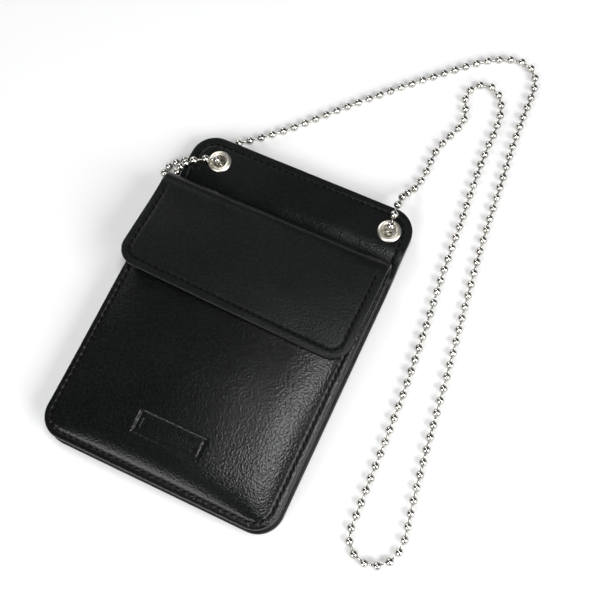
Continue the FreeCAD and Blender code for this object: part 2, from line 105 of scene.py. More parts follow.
def make_camera():
    back = (CAMERA_PLACE - CAMERA_AIM).normalized()
    level = Vector((0.0, 0.0, 1.0)).cross(back).normalized()
    upright = back.cross(level)
    right = level * math.cos(CAMERA_ROLL) + upright * math.sin(CAMERA_ROLL)
    up = upright * math.cos(CAMERA_ROLL) - level * math.sin(CAMERA_ROLL)
    data = bpy.data.cameras.new("camera")
    data.sensor_width = SENSOR_WIDTH
    data.lens = CAMERA_LENS
    data.clip_start = 0.01
    data.clip_end = 50.0
    camera = bpy.data.objects.new("camera", data)
    turned = Matrix((right, up, back)).transposed().to_4x4()
    turned.translation = CAMERA_PLACE
    camera.matrix_world = turned
    bpy.context.scene.collection.objects.link(camera)
    bpy.context.scene.camera = camera


make_camera()


# ---- materials

class Nodes:
    """A new node material and short calls that add and join its nodes."""

    def __init__(self, name):
        self.material = bpy.data.materials.new(name)
        self.material.use_nodes = True
        self.tree = self.material.node_tree
        self.shader = self.tree.nodes["Principled BSDF"]
        self.place = self.add("ShaderNodeTexCoord").outputs["Object"]

    def add(self, kind, inputs=(), **settings):
        node = self.tree.nodes.new(kind)
        for name, value in settings.items():
            setattr(node, name, value)
        for name, value in dict(inputs).items():
            node.inputs[name].default_value = value
        return node

    def join(self, source, target):
        self.tree.links.new(source, target)

    def set(self, **values):
        for name, value in values.items():
            self.shader.inputs[name.replace("_", " ")].default_value = value

    def noise(self, size, detail=3.0, roughness=0.5):
        """Noise whose features are about size metres across."""
        node = self.add("ShaderNodeTexNoise",
                        {"Scale": 1.0 / size, "Detail": detail, "Roughness": roughness})
        self.join(self.place, node.inputs["Vector"])
        return node.outputs["Fac"]

    def cells(self, size, smooth, vector):
        """Rounded cells about size metres across."""
        node = self.add("ShaderNodeTexVoronoi", {"Scale": 1.0 / size, "Smoothness": smooth},
                        feature="SMOOTH_F1")
        self.join(vector, node.inputs["Vector"])
        return node.outputs["Distance"]

    def spread(self, source, low, high, start=0.0, end=1.0):
        """Maps a value between start and end onto low to high."""
        node = self.add("ShaderNodeMapRange",
                        {"From Min": start, "From Max": end, "To Min": low, "To Max": high})
        self.join(source, node.inputs["Value"])
        return node.outputs["Result"]

    def sum(self, first, second, share):
        """first + second * share"""
        node = self.add("ShaderNodeMath", operation="MULTIPLY_ADD")
        self.join(second, node.inputs[0])
        node.inputs[1].default_value = share
        self.join(first, node.inputs[2])
        return node.outputs[0]

    def ramp(self, source, stops):
        node = self.add("ShaderNodeValToRGB")
        elements = node.color_ramp.elements
        while len(elements) < len(stops):
            elements.new(0.5)
        for element, (position, colour) in zip(elements, stops):
            element.position = position
            element.color = (*colour, 1.0)
        self.join(source, node.inputs["Fac"])
        return node.outputs["Color"]

    def bump(self, height, distance):
        node = self.add("ShaderNodeBump", {"Distance": distance, "Strength": 1.0})
        self.join(height, node.inputs["Height"])
        self.join(node.outputs["Normal"], self.shader.inputs["Normal"])

    def warped(self, amount, size):
        """Object coordinates pushed about by noise, so that cells aren't regular."""
        noise = self.add("ShaderNodeTexNoise", {"Scale": 1.0 / size})
        self.join(self.place, noise.inputs["Vector"])
        scale = self.add("ShaderNodeVectorMath", operation="MULTIPLY_ADD")
        self.join(noise.outputs["Color"], scale.inputs[0])
        scale.inputs[1].default_value = (amount,) * 3
        self.join(self.place, scale.inputs[2])
        return scale.outputs["Vector"]


def leather(name, dark, light, roughness, grain, specular):
    """Fine pebble-grained leather: rounded pebbles, pores and a slow change of sheen.

    The mesh attribute "seam" is 1 in a seam's groove, where the leather is rougher and its colour is
    darkened by a painted shade.
    roughness is its lowest and highest value, grain the height of the pebbles in millimetres.
    """
    made = Nodes(name)
    seam = made.add("ShaderNodeAttribute", attribute_name="seam").outputs["Fac"]
    warped = made.warped(0.25 * MM, 1.1 * MM)
    pebbles = made.cells(0.7 * MM, 0.35, warped)
    pores = made.noise(0.3 * MM, detail=3.0, roughness=0.6)
    waves = made.noise(4.0 * MM, detail=2.0)
    patches = made.noise(22.0 * MM, detail=2.0)
    height = made.sum(made.sum(pebbles, pores, 0.3), waves, 0.2)
    made.bump(height, grain * MM)
    cloudy = made.spread(patches, 0.0, 0.16, 0.3, 0.7)
    # Lighter pebble tops: partly dye worn off them, partly a painted glint for the grain's sparkle.
    tone = made.sum(cloudy, made.spread(pebbles, 0.0, 1.0, 0.1, 0.7), 0.7)
    # Painted shade: the colour darkens in a seam's groove.
    tone = made.sum(tone, seam, -0.8)
    made.join(made.ramp(tone, [(0.1, dark), (0.9, light)]), made.shader.inputs["Base Color"])
    rough = made.spread(patches, *roughness, 0.2, 0.8)
    made.join(made.sum(rough, seam, 0.3), made.shader.inputs["Roughness"])
    made.set(Specular_IOR_Level=specular)
    return made.material


def mottled(name, fine, relief, colours, rough, broad=None, **settings):
    """Plain finish from one fine noise; its colour follows a broad noise where one is given.

    fine and broad are a noise's size, detail and roughness, relief is the height of the bumps,
    colours are a ramp's stops, and rough is the roughness from low to high.
    """
    made = Nodes(name)
    grain = made.noise(*fine)
    tone = made.noise(*broad) if broad else grain
    made.bump(grain, relief)
    made.join(made.ramp(tone, colours), made.shader.inputs["Base Color"])
    made.join(made.spread(grain, *rough), made.shader.inputs["Roughness"])
    made.set(**settings)
    return made.material


def plated_metal(name, dull, bright, rough_low, rough_high, pit):
    """Metal plate with faint handling marks and a slightly uneven polish; pit is in mm."""
    made = Nodes(name)
    marks = made.noise(1.3 * MM, detail=6.0, roughness=0.7)
    broad = made.noise(4.0 * MM, detail=2.0)
    made.bump(made.sum(marks, broad, 0.6), pit * MM)
    made.join(made.ramp(broad, [(0.3, dull), (0.7, bright)]), made.shader.inputs["Base Color"])
    made.join(made.spread(marks, rough_low, rough_high, 0.3, 0.7), made.shader.inputs["Roughness"])
    made.set(Metallic=1.0)
    return made.material


PANEL_LEATHER = leather("panel_leather_look", (0.0004, 0.0009, 0.0008), (0.0065, 0.008, 0.0077),
                        (0.26, 0.31), 0.06, 0.22)
POCKET_LEATHER = leather("pocket_leather_look", (0.0004, 0.0005, 0.0005), (0.0068, 0.0074, 0.0074),
                         (0.21, 0.24), 0.07, 0.3)
FLAP_LEATHER = leather("flap_leather_look", (0.0026, 0.0029, 0.003), (0.0102, 0.0111, 0.0113),
                       (0.28, 0.30), 0.06, 0.14)
GUSSET_LEATHER = leather("gusset_leather_look", (0.003, 0.0034, 0.0035), (0.013, 0.0135, 0.0135),
                         (0.30, 0.42), 0.14, 0.28)
EDGE_PAINT = mottled(
    "edge_paint_look", (0.8 * MM, 4.0, 0.65), 0.05 * MM,
    [(0.3, (0.004, 0.004, 0.0045)), (0.75, (0.010, 0.010, 0.011))],
    (0.24, 0.42, 0.3, 0.75), Specular_IOR_Level=0.55)
LINING_CLOTH = mottled(
    "lining_look", (0.35 * MM, 3.0, 0.7), 0.04 * MM,
    [(0.3, (0.012, 0.012, 0.013)), (0.7, (0.022, 0.022, 0.023))],
    (0.6, 0.8), (9.0 * MM, 3.0),
    Sheen_Weight=0.25, Sheen_Roughness=0.5, Specular_IOR_Level=0.3)
THREAD = mottled(
    "thread_look", (0.22 * MM, 2.0, 0.6), 0.06 * MM,
    [(0.3, (0.0006, 0.0006, 0.0007)), (0.8, (0.002, 0.002, 0.0022))],
    (0.7, 0.9), Specular_IOR_Level=0.08)
BOARD_LOOK = mottled(
    "board_look", (0.4 * MM, 6.0, 0.75), 0.05 * MM,
    [(0.3, (0.02, 0.018, 0.016)), (0.75, (0.06, 0.052, 0.045))], (0.65, 0.9))
NICKEL = plated_metal("nickel_look", (0.90, 0.85, 0.73), (1.0, 0.95, 0.84), 0.28, 0.38, 0.012)
CHAIN_NICKEL = plated_metal("chain_nickel_look", (0.44, 0.43, 0.40), (0.72, 0.70, 0.65),
                            0.10, 0.22, 0.008)
MAGNET_ZINC = plated_metal("magnet_look", (0.42, 0.42, 0.43), (0.58, 0.58, 0.60), 0.25, 0.45, 0.02)


# ---- mesh helpers

def add_mesh(name, points, faces, materials, face_materials=None):
    mesh = bpy.data.meshes.new(name)
    mesh.from_pydata(np.asarray(points, float).tolist(), [], [list(map(int, face)) for face in faces])
    for material in materials:
        mesh.materials.append(material)
    if face_materials is not None:
        mesh.polygons.foreach_set("material_index", np.asarray(face_materials, np.int32))
    mesh.shade_smooth()
    mesh.update()
    piece = bpy.data.objects.new(name, mesh)
    bpy.context.scene.collection.objects.link(piece)
    return piece


def settle(piece, body, slot, *nodes):
    """Rides a piece on its body and hides the nodes that it stands for; slot is not used."""
    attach(piece, body)
    if nodes:
        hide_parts(*nodes)


def lathe(profile, segments):
    """Closed surface of revolution about Z; profile is (radius, height) pairs in a ring."""
    profile = np.asarray(profile, float)
    angles = np.arange(segments) * (2 * math.pi / segments)
    turned = np.stack([
        np.outer(np.cos(angles), profile[:, 0]),
        np.outer(np.sin(angles), profile[:, 0]),
        np.outer(np.ones(segments), profile[:, 1]),
    ], axis=-1)
    count = len(profile)
    faces = []
    for segment in range(segments):
        here, following = segment * count, (segment + 1) % segments * count
        for step in range(count):
            ahead = (step + 1) % count
            faces.append((here + step, following + step, following + ahead, here + ahead))
    return turned.reshape(-1, 3), faces


def cut_corners(line, rounds=2, closed=True):
    """Line rounded by cutting its corners; an open one keeps its ends."""
    line = np.asarray(line, float)
    for _ in range(rounds):
        following = np.roll(line, -1, axis=0)
        cut = np.stack([0.75 * line + 0.25 * following, 0.25 * line + 0.75 * following], 1)
        if closed:
            line = cut.reshape(-1, 2)
        else:
            line = np.concatenate([line[:1], cut[:-1].reshape(-1, 2), line[-1:]])
    return line


def ripple(across, up, seed, wavelength, amount):
    """Gentle uneven waves: a few sines in fixed directions."""
    draw = np.random.default_rng(seed)
    total = np.zeros_like(across)
    waves = 6
    for _ in range(waves):
        angle = draw.uniform(0, math.pi)
        length = wavelength * draw.uniform(0.7, 1.6)
        phase = draw.uniform(0, 2 * math.pi)
        along = across * math.cos(angle) + up * math.sin(angle)
        total += np.sin(along * (2 * math.pi / length) + phase)
    return total * (amount / waves)


def smoothstep(value):
    value = np.clip(value, 0.0, 1.0)
    return value * value * (3.0 - 2.0 * value)


def travel(line):
    """Distance along a line of points, at each of them."""
    return np.concatenate([[0], np.cumsum(np.linalg.norm(np.diff(line, axis=0), axis=1))])


def along_line(places, lengths, line):
    """Points of a line at the given distances along it."""
    return np.stack([np.interp(places, lengths, column) for column in line.T], -1)


# ---- plates with rounded outlines

EDGE_INSETS = [0.0, 0.05, 0.13, 0.25, 0.42, 0.65, 1.0, 1.5, 2.0, 2.4, 2.7, 2.95, 3.2, 3.45,
               3.7, 4.0, 4.5]


def ring_insets(short_side, cell):
    """Distances of the rings from the outline: fine at the edge and seam, even inside."""
    edge = [inset * MM for inset in EDGE_INSETS]
    rest = short_side / 2 - edge[-1]
    inner = np.linspace(edge[-1], short_side / 2, max(2, round(rest / cell)) + 1)[1:]
    return edge + inner.tolist()


def side_points(share, reach, depth, start_round, end_round):
    """Points along one side of a rounded rectangle, between the middles of its corners.

    The side runs along the first coordinate from -reach to reach, at -depth in the second.
    """
    start_arc, end_arc = start_round * math.pi / 4, end_round * math.pi / 4
    straight = 2 * reach - start_round - end_round
    travelled = share * (start_arc + straight + end_arc)
    along = travelled - start_arc + start_round - reach
    outward = np.full_like(along, -depth)
    for past, corner, end in ((start_arc - travelled, start_round, -1),
                              (travelled - start_arc - straight, end_round, 1)):
        if corner > 0:
            turned = past > 0
            angle = past[turned] / corner
            along[turned] = end * (reach - corner * (1 - np.sin(angle)))
            outward[turned] = corner * (1 - np.cos(angle)) - depth
    return along, outward


def ring_grid(width, height, low_round, high_round, cell):
    """Grid over a plate whose rows and columns follow its rounded outline.

    Gives each grid point's place across and up from the middle, and its inset.
    """
    insets = ring_insets(min(width, height), cell)
    rings = len(insets) - 1
    columns = 2 * rings + max(0, round((width - height) / cell))
    rows = 2 * rings + max(0, round((height - width) / cell))
    across, up, inset = (np.zeros((columns + 1, rows + 1)) for _ in range(3))
    for ring, depth in enumerate(insets):
        half_width, half_height = width / 2 - depth, height / 2 - depth
        low, high = max(low_round - depth, 0.0), max(high_round - depth, 0.0)
        i = np.arange(ring, columns - ring + 1)
        j = np.arange(ring, rows - ring + 1)
        share_i = (i - ring) / max(columns - 2 * ring, 1)
        share_j = (j - ring) / max(rows - 2 * ring, 1)
        along, outward = side_points(share_i, half_width, half_height, low, low)
        across[i, ring], up[i, ring] = along, outward
        along, outward = side_points(share_i, half_width, half_height, high, high)
        across[i, rows - ring], up[i, rows - ring] = along, -outward
        along, outward = side_points(share_j, half_height, half_width, low, high)
        across[ring, j], up[ring, j] = outward, along
        across[columns - ring, j], up[columns - ring, j] = -outward, along
        inset[i, ring] = inset[i, rows - ring] = depth
        inset[ring, j] = inset[columns - ring, j] = depth
    return across, up, inset


def plate(name, upper, lower, inset, materials, painted=0.15 * MM, upper_groove_shade=None, lower_groove_shade=None):
    """Closed solid between two surfaces over one ring grid, with its edge painted.

    The last two say how far each point of the two surfaces lies in a seam's groove, 0 to 1, where the
    colour gets a painted shade.
    """
    number = np.arange(inset.size).reshape(inset.shape)
    top = np.stack([number[:-1, :-1], number[1:, :-1], number[1:, 1:], number[:-1, 1:]], -1)
    top = top.reshape(-1, 4)
    below = top[:, ::-1] + number.size
    loop = np.concatenate([number[:-1, 0], number[-1, :-1], number[:0:-1, -1], number[0, :0:-1]])
    ahead = np.roll(loop, -1)
    rim = np.stack([loop + number.size, ahead + number.size, ahead, loop], -1)
    depth = np.maximum.reduce([inset[:-1, :-1], inset[1:, :-1], inset[1:, 1:], inset[:-1, 1:]])
    face_edge = (depth.reshape(-1) <= painted).astype(np.int32)
    points = np.concatenate([upper.reshape(-1, 3), lower.reshape(-1, 3)])
    faces = np.concatenate([top, below, rim])
    kinds = np.concatenate([face_edge, face_edge, np.ones(len(rim), np.int32)])
    piece = add_mesh(name, points, faces, materials, kinds)
    if upper_groove_shade is not None:
        other = np.zeros_like(upper_groove_shade) if lower_groove_shade is None else lower_groove_shade
        # The "seam" attribute carries the painted shade of the seams' grooves.
        seam = piece.data.attributes.new("seam", "FLOAT", "POINT")
        seam.data.foreach_set("value", np.concatenate([upper_groove_shade.ravel(), other.ravel()]))
    return piece


def edge_round(inset, radius):
    """How far a surface has dropped at an inset, for an edge rounded to radius."""
    left = np.clip(radius - inset, 0.0, radius)
    return radius - np.sqrt(np.maximum(radius ** 2 - left ** 2, 0.0))


# ---- seams

SEAM_STEP = 0.1 * MM
GROOVE_WIDTH = 0.55 * MM
# Width of the painted shade along a seam's groove.
GROOVE_SHADE_WIDTH = 0.5 * MM
HOLE_WIDTH = 0.6 * MM
STITCH_LENGTH = 2.2 * MM
STITCH_RADIUS = 0.27 * MM
BACK_STITCH_RADIUS = 0.24 * MM
STITCH_LEAN = 0.12


def seam_line(half_width, low, high, corner):
    """Points down one side, round both low corners and up the other side, SEAM_STEP apart."""
    turn = np.linspace(0, math.pi / 2, 60)
    side, middle = half_width - corner, low + corner
    right = [(side + corner * math.cos(angle), middle - corner * math.sin(angle)) for angle in turn]
    left = [(-side - corner * math.sin(angle), middle - corner * math.cos(angle)) for angle in turn]
    line = np.array([(half_width, high), *right, *left, (-half_width, high)])
    lengths = travel(line)
    return along_line(np.arange(0, lengths[-1], SEAM_STEP), lengths, line)


def spaced_stitches(line):
    """Middle and direction of every stitch along a seam, and the holes between them."""
    every = STITCH_PITCH / SEAM_STEP
    count = int(len(line) / every)
    middles = np.clip(((np.arange(count) + 0.5) * every).astype(int), 1, len(line) - 2)
    holes = np.clip((np.arange(count + 1) * every).astype(int), 0, len(line) - 1)
    directions = line[middles + 1] - line[middles - 1]
    directions /= np.linalg.norm(directions, axis=1)[:, None]
    return line[middles], directions, line[holes]


def seam_dip(across, up, seam_distance, holes, groove, hole_depth):
    """Groove that the seam pulls into the leather, deeper at each needle hole."""
    dip = groove * np.exp(-(seam_distance / GROOVE_WIDTH) ** 2)
    near = seam_distance < 1.6 * MM
    place = np.stack([across[near], up[near]], -1)
    nearest = np.sqrt(((place[:, None, :] - holes[None, :, :]) ** 2).sum(-1)).min(1)
    dip[near] += hole_depth * np.exp(-(nearest / HOLE_WIDTH) ** 2)
    return dip


def painted_groove_shade(seam_distance):
    """How far a point lies in a seam's groove, 0 to 1: the share of painted shade there."""
    return np.exp(-(seam_distance / GROOVE_SHADE_WIDTH) ** 2)


def sew(name, stitches, surface, body, *nodes, radius=STITCH_RADIUS):
    """One piece of separate stitches, each a short thread whose ends dive into the leather.

    surface(across, up) gives the point and the outward direction under a stitch.
    """
    sections = np.linspace(-1, 1, 7)
    sides = 8
    points, faces = [], []
    for index, (middle, direction) in enumerate(zip(*stitches[:2])):
        tilt = STITCH_LEAN + 0.05 * math.sin(7.0 * index)
        along = np.array([direction[0] * math.cos(tilt) - direction[1] * math.sin(tilt),
                          direction[0] * math.sin(tilt) + direction[1] * math.cos(tilt)])
        start = len(points)
        for section in sections:
            plan = middle + along * (section * STITCH_LENGTH / 2)
            centre, normal = surface(*plan)
            ahead, _ = surface(*(plan + along * 0.05 * MM))
            forward = ahead - centre
            forward /= np.linalg.norm(forward)
            sideways = np.cross(normal, forward)
            girth = radius * (0.45 + 0.55 * math.sqrt(1 - section ** 2 * 0.98))
            centre = centre + normal * (radius * 0.35 - radius * 1.9 * section ** 4)
            for side in range(sides):
                angle = 2 * math.pi * side / sides
                points.append(centre + sideways * girth * math.cos(angle)
                              + normal * girth * 0.8 * math.sin(angle))
        for ring in range(start, start + (len(sections) - 1) * sides, sides):
            for side in range(sides):
                here, following = ring + side, ring + (side + 1) % sides
                faces.append((here, following, following + sides, here + sides))
        faces.append([start + side for side in reversed(range(sides))])
        faces.append([start + (len(sections) - 1) * sides + side for side in range(sides)])
    settle(add_mesh(name, points, faces, [THREAD]), body, "black_thread", *nodes)


# ---- chain

# The route repeats the chain's middle line from the part's source, with the bunch beside the
# flap drawn a little tighter.
CHAIN_ROUTE = [
    (-5.5, 57.5, 2.0), (-13.0, 57.5, 2.0), (-21.0, 57.9, 1.6), (-29.0, 57.3, 1.6),
    (-35.0, 57.5, 1.6), (-35.0, 57.5, 9.8), (-41.6, 54.6, 9.9), (-47.4, 50.2, 9.3),
    (-50.2, 47.8, 3.9), (-50.0, 45.6, 1.6), (-51.4, 43.9, 1.6), (-53.6, 43.7, 1.6),
    (-55.3, 45.4, 1.6), (-55.4, 48.6, 1.6), (-53.4, 52.0, 1.6), (-49.0, 55.4, 1.6),
    (-43.2, 61.0, 1.6), (-36.6, 67.8, 1.6), (-28.6, 74.2, 1.6), (-17.6, 84.0, 1.6),
    (-2.8, 100.6, 1.6), (15.4, 119.4, 1.6), (31.4, 134.8, 1.6), (42.6, 145.2, 1.6),
    (50.4, 150.0, 1.6), (57.6, 152.0, 1.6), (63.4, 150.0, 1.6), (66.6, 144.4, 1.6),
    (67.2, 136.8, 1.6), (67.4, 127.6, 1.6), (68.4, 112.6, 1.6), (70.4, 94.4, 1.6),
    (72.1, 74.4, 1.6), (76.0, 46.0, 1.6), (81.0, 13.0, 1.6), (84.6, -15.0, 1.6),
    (87.6, -34.2, 1.6), (89.8, -44.6, 1.6), (90.2, -51.6, 1.6), (87.2, -57.4, 1.6),
    (81.2, -60.3, 1.6), (74.8, -58.6, 1.6), (71.0, -53.2, 1.6), (70.9, -44.6, 1.6),
    (70.2, -33.0, 1.6), (69.7, -17.0, 1.6), (68.5, 4.0, 1.6), (66.3, 28.6, 1.6),
    (63.8, 50.0, 1.6), (62.0, 74.6, 1.6), (60.0, 95.0, 1.6), (59.3, 109.0, 1.6),
    (59.4, 119.0, 1.6), (58.5, 126.8, 1.6), (55.4, 133.2, 1.6), (49.8, 136.4, 1.6),
    (44.3, 133.8, 1.6), (41.9, 127.0, 1.6), (46.9, 117.8, 1.6), (44.4, 109.4, 1.6),
    (41.2, 101.6, 1.6), (40.8, 93.4, 1.6), (41.2, 87.2, 1.6), (40.4, 81.8, 1.7),
    (38.6, 77.0, 4.2), (37.2, 72.2, 8.5), (37.7, 65.6, 9.9), (38.6, 57.5, 9.8),
    (38.6, 57.5, 1.6), (30.0, 57.7, 1.6), (21.5, 57.1, 1.6), (13.0, 57.5, 2.0),
    (5.5, 57.5, 2.0),
]
BEAD_PITCH = 4.75 * MM
SLACK_PITCH = 3.4 * MM
SLACK_REACH = -42.0 * MM
LINK_RADIUS = 0.40 * MM
BEAD_MOUTH = 0.62 * MM
BEAD_WALL = 0.5 * MM


def spline_points(route):
    """Points along the smooth NURBS line whose control points are the route's."""
    curve = bpy.data.curves.new("route", "CURVE")
    curve.dimensions = "3D"
    curve.resolution_u = 24
    spline = curve.splines.new("NURBS")
    spline.points.add(len(route) - 1)
    for point, place in zip(spline.points, route):
        point.co = (*(value * MM for value in place), 1.0)
    spline.order_u = 3
    spline.use_endpoint_u = True
    carrier = bpy.data.objects.new("route", curve)
    bpy.context.scene.collection.objects.link(carrier)
    bpy.context.view_layer.update()
    mesh = bpy.data.meshes.new_from_object(carrier)
    points = np.array([vertex.co[:] for vertex in mesh.vertices])
    bpy.data.objects.remove(carrier)
    bpy.data.curves.remove(curve)
    bpy.data.meshes.remove(mesh)
    return points


def bead_profile():
    """Hollow bead as (radius, height): a ball whose two poles turn in round the link."""
    start = math.asin(BEAD_MOUTH / BEAD_RADIUS)
    angles = np.linspace(start, math.pi - start, 12)
    ring = [(BEAD_RADIUS * math.sin(angle), BEAD_RADIUS * math.cos(angle)) for angle in angles]
    inner = BEAD_RADIUS - BEAD_WALL
    return ring + [(BEAD_MOUTH * 0.9, -inner), (BEAD_MOUTH * 0.9, inner)]


def frame_along(direction):
    """Two directions square to a third."""
    helper = np.array([0.0, 0.0, 1.0]) if abs(direction[2]) < 0.8 else np.array([1.0, 0.0, 0.0])
    side = np.cross(helper, direction)
    side /= np.linalg.norm(side)
    return side, np.cross(direction, side)


def bead_places(path, lengths):
    """Distances of the beads along the chain; they crowd where it bunches by the flap."""
    places = [BEAD_PITCH / 2]
    while places[-1] < lengths[-1] - BEAD_PITCH:
        across = np.interp(places[-1], lengths, path[:, 0])
        places.append(places[-1] + (SLACK_PITCH if across < SLACK_REACH else BEAD_PITCH))
    return np.array(places)


def make_chain():
    """Hollow beads strung on short rods, in one piece, and the line that they follow."""
    path = spline_points(CHAIN_ROUTE)
    lengths = travel(path)
    centres = along_line(bead_places(path, lengths), lengths, path)
    directions = np.gradient(centres, axis=0)
    directions /= np.linalg.norm(directions, axis=1)[:, None]
    bead, bead_faces = lathe(bead_profile(), 18)
    rod, rod_faces = lathe([(LINK_RADIUS, 1.0), (LINK_RADIUS, 0.0), (0.0, 0.0), (0.0, 1.0)], 8)
    ends = [path[0], *centres, path[-1]]
    copies = [(bead, bead_faces, centre, direction) for centre, direction in zip(centres, directions)]
    copies += [(rod, rod_faces, first, second - first) for first, second in zip(ends, ends[1:])]
    points, faces, start = [], [], 0
    for shape, shape_faces, origin, along in copies:
        side, up = frame_along(along / np.linalg.norm(along))
        points.append(origin + shape @ np.array([side, up, along]))
        faces += [[start + corner for corner in face] for face in shape_faces]
        start += len(shape)
    piece = add_mesh("ball_chain", np.concatenate(points), faces, [CHAIN_NICKEL])
    settle(piece, "pouch", "nickel", "neck_chain")
    return piece, path


chain, chain_path = make_chain()


def make_connector():
    """Split sleeve that snaps over the last bead at each end of the chain."""
    low, high = node_box("chain_connector")
    half = (high[0] - low[0]) / 2
    outer = (high[2] - low[2]) / 2
    wall = 0.35 * MM
    stations = [(-half, 0.62), (-half + 0.25 * MM, 0.84), (-half + 0.7 * MM, 1.0), (0.0, 1.0),
                (half - 0.7 * MM, 1.0), (half - 0.25 * MM, 0.84), (half, 0.62)]
    slot_half = math.radians(22)
    angles = np.linspace(slot_half, 2 * math.pi - slot_half, 29)
    upper, lower = (np.array([[(along, (outer * share - depth) * math.sin(angle),
                                (outer * share - depth) * math.cos(angle))
                               for angle in angles] for along, share in stations])
                    for depth in (0.0, wall))
    inset = np.full(upper.shape[:2], 1.0)
    centre = np.array([0.0, (low[1] + high[1]) / 2, outer])
    piece = plate("chain_sleeve", upper + centre, lower + centre, inset, [NICKEL, NICKEL])
    settle(piece, "pouch", "nickel", "chain_connector")
    return piece


connector = make_connector()


# ---- back panel

def rise(up):
    """Height and slope angle of the panel's line: flat, then an S up to the tab."""
    span = RISE_END - RISE_START
    turn = 2 * math.atan2(TAB_LIFT, span)
    radius = span / (2 * math.sin(turn))
    up = np.asarray(up, float)
    first = np.clip(up - RISE_START, 0.0, span / 2)
    last = np.clip(RISE_END - up, 0.0, span / 2)
    lower = radius - np.sqrt(radius ** 2 - first ** 2)
    upper = TAB_LIFT - (radius - np.sqrt(radius ** 2 - last ** 2))
    rising = up < RISE_START + span / 2
    return np.where(rising, lower, upper), np.arcsin(np.where(rising, first, last) / radius)


def panel_points(across, up, offset):
    """Point of the panel at an offset from its back face, square to its line."""
    height, slope = rise(up)
    return np.stack([across, up - np.sin(slope) * offset, height + np.cos(slope) * offset], -1)


def panel_seams():
    """Seam round the tab's free sides, and the one seen on the back all the way round."""
    line = seam_line(PANEL_WIDTH / 2 - SEAM_INSET, -PANEL_HEIGHT / 2 + SEAM_INSET, 0.0,
                     PANEL_CORNER - SEAM_INSET)
    upturned = line * np.array([1.0, -1.0])
    on_tab = upturned[upturned[:, 1] > TAB_SEAM_START]
    return spaced_stitches(on_tab), spaced_stitches(np.concatenate([line, upturned[::-1]]))


TAB_STITCHES, PANEL_STITCHES = panel_seams()


def bored(piece):
    """Cuts the two eyelet holes through a panel layer."""
    below, above = -5 * MM, 15 * MM
    for side_name in ("left", "right"):
        points, faces = lathe([(0.0, below), (EYELET_HOLE, below), (EYELET_HOLE, above),
                               (0.0, above)], 40)
        cutter = add_mesh("cutter", points + eyelet_middle(side_name), faces, [])
        cut = piece.modifiers.new("eyelet_hole", "BOOLEAN")
        cut.operation = "DIFFERENCE"
        cut.solver = "EXACT"
        cut.object = cutter
        bpy.context.view_layer.update()
        evaluated = piece.evaluated_get(bpy.context.evaluated_depsgraph_get())
        holed = bpy.data.meshes.new_from_object(evaluated)
        piece.modifiers.clear()
        piece.data = holed
        bpy.data.objects.remove(cutter)
    return piece


def make_panel():
    across, up, inset = ring_grid(PANEL_WIDTH, PANEL_HEIGHT, PANEL_CORNER, PANEL_CORNER, 0.9 * MM)
    seam_distance = np.abs(inset - SEAM_INSET)
    rounding = edge_round(inset, 0.45 * MM)
    on_tab = smoothstep((up - 30.0 * MM) / (6.0 * MM))
    face_dip = seam_dip(across, up, seam_distance, TAB_STITCHES[2], 0.10 * MM, 0.16 * MM) * on_tab
    back_dip = seam_dip(across, up, seam_distance, PANEL_STITCHES[2], 0.12 * MM, 0.16 * MM)
    board_low, board_high = LEATHER, LEATHER + BOARD
    top = board_high + LEATHER
    uneven = ripple(across, up, 3, 22 * MM, 0.10 * MM) * on_tab
    # Painted shade in the seam grooves on the back and on the tab.
    back = plate("back_cover", panel_points(across, up, board_low - rounding * 0.6),
                 panel_points(across, up, rounding + back_dip), inset,
                 [PANEL_LEATHER, EDGE_PAINT], upper_groove_shade=0 * up,
                 lower_groove_shade=painted_groove_shade(seam_distance))
    settle(bored(back), "pouch", "black_leather", "back_leather")
    face = plate("front_panel", panel_points(across, up, top - rounding - face_dip + uneven),
                 panel_points(across, up, board_high + rounding * 0.6), inset,
                 [PANEL_LEATHER, EDGE_PAINT], upper_groove_shade=painted_groove_shade(seam_distance) * on_tab)
    settle(bored(face), "pouch", "black_leather", "panel_leather")
    narrow = 1 - BOARD_INSET / (PANEL_WIDTH / 2)
    short = 1 - BOARD_INSET / (PANEL_HEIGHT / 2)
    board = plate("stiffening_board", panel_points(across * narrow, up * short, board_high),
                  panel_points(across * narrow, up * short, board_low + 0 * up), inset,
                  [BOARD_LOOK, BOARD_LOOK])
    settle(bored(board), "pouch", "stiffener", "panel_board")

    def surface(offset, outward):
        def point_and_normal(x, y):
            _, slope = rise(y)
            normal = np.array([0.0, -math.sin(slope), math.cos(slope)])
            return panel_points(np.array(x), np.array(y), offset), outward * normal
        return point_and_normal

    sew("tab_stitches", TAB_STITCHES, surface(top - 0.1 * MM, 1), "pouch", "tab_thread")
    sew("back_stitches", PANEL_STITCHES, surface(0.32 * MM, -1), "pouch",
        radius=BACK_STITCH_RADIUS)


make_panel()


# ---- pocket

POCKET_SHIFT = -0.6 * MM
POCKET_WIDTH = POCKET_HIGH[0] - POCKET_LOW[0]
POCKET_BOTTOM = POCKET_LOW[1]
POCKET_MOUTH = POCKET_HIGH[1]
POCKET_CORNER = 9.5 * MM
POCKET_SKIN = POCKET_HIGH[2]
POCKET_CROWN = 1.5 * MM
POCKET_DOME = 1.2 * MM
POCKET_SHOULDER = 4.5 * MM
POCKET_SINK = 1.2 * MM
POCKET_DROOP = 0.3 * MM
LINING_GAP = 0.03 * MM
PLAQUE_CENTRE = np.array([-0.9, -49.4]) * MM
PLAQUE_SIZE = np.array([27.4, 9.2]) * MM
PLAQUE_DEPTH = 0.38 * MM
PLAQUE_BEVEL = 0.7 * MM
PLAQUE_LINE_INSET = 2.0 * MM
PLAQUE_LINE_HALF = 0.4 * MM
PLAQUE_LINE_HEIGHT = 0.16 * MM


def pocket_sink(up):
    """How far the pocket's edge has sunk towards the panel, nothing near the mouth."""
    return POCKET_SINK * smoothstep((10.0 * MM - up) / (60.0 * MM))


